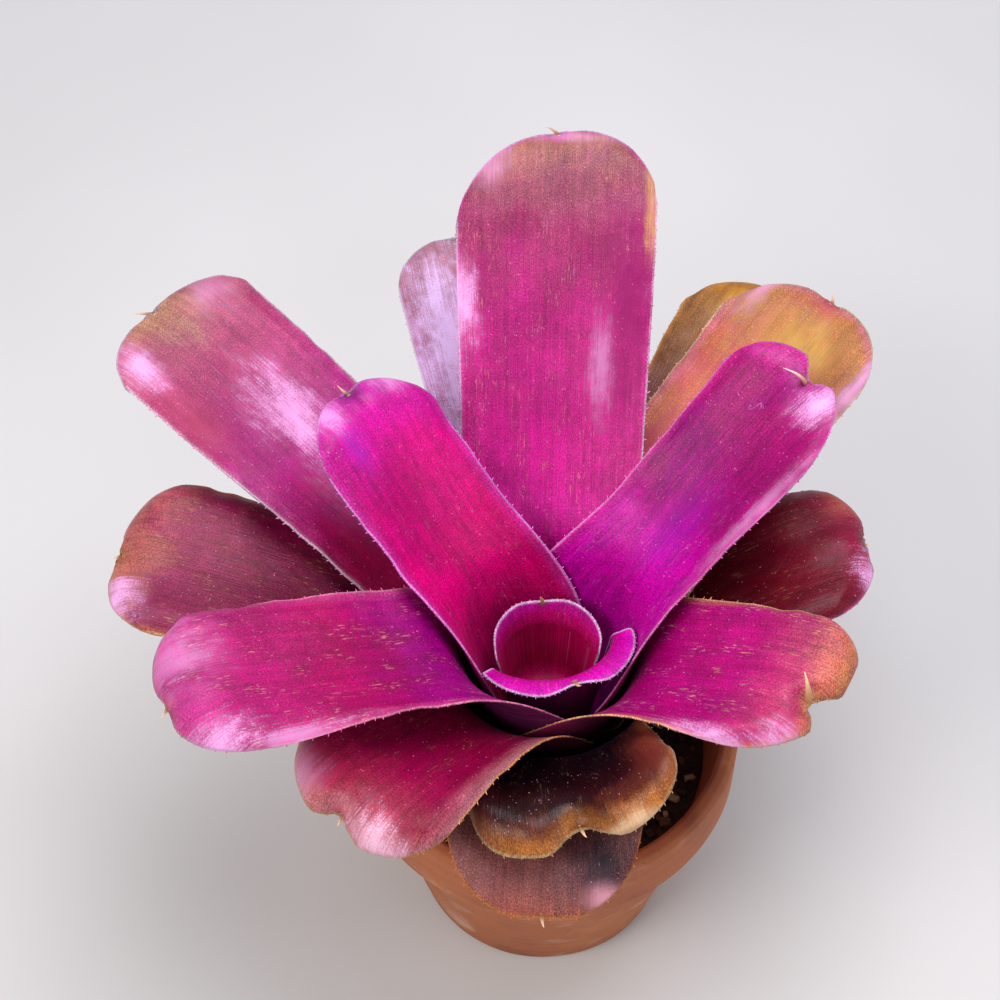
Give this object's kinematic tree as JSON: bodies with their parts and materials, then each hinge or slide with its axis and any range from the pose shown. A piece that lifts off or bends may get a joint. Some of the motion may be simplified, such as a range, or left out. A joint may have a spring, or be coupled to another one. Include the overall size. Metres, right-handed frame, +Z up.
{
  "type": "potted bromeliad plant",
  "caption": "Potted neoregelia: broad purple leaves with toothed edges in an open rosette round a small cup, in a plain clay pot.",
  "frame": {"origin": "middle of the pot's foot, on the surface it stands on", "axes": "+Z up along the pot's and the stem's axis, +Y to the back of the plant, where its longest leaf points, +X to the right seen from the front"},
  "size_m": [0.1539, 0.1557, 0.1384],
  "materials": {
    "clay": "matte fired clay, unglazed, with faint turning lines and a little lime bloom",
    "potting_mix": "dark bark and peat mix, rough and dry",
    "stem": "short pale brown stem, fibrous",
    "leaf_magenta": "waxy bright magenta leaf, fine lengthwise veins, pale edge",
    "leaf_rose": "waxy rose and mauve leaf, olive tan towards the tip, lilac sheen",
    "leaf_wine": "waxy wine red leaf, orange edge, pale rolled tip",
    "leaf_brown": "ageing brown and orange leaf, satin"
  },
  "bodies": {
    "root": {"pot": "clay", "potting_mix": "potting_mix", "stem": "stem", "leaf_01": "leaf_magenta", "leaf_02": "leaf_magenta", "leaf_03": "leaf_magenta", "leaf_04": "leaf_magenta", "leaf_05": "leaf_magenta", "leaf_06": "leaf_magenta", "leaf_07": "leaf_rose", "leaf_08": "leaf_wine", "leaf_09": "leaf_rose", "leaf_10": "leaf_rose", "leaf_11": "leaf_brown", "leaf_12": "leaf_wine", "leaf_13": "leaf_wine", "leaf_14": "leaf_rose", "leaf_15": "leaf_brown", "leaf_16": "leaf_brown"}
  },
  "joints": []
}
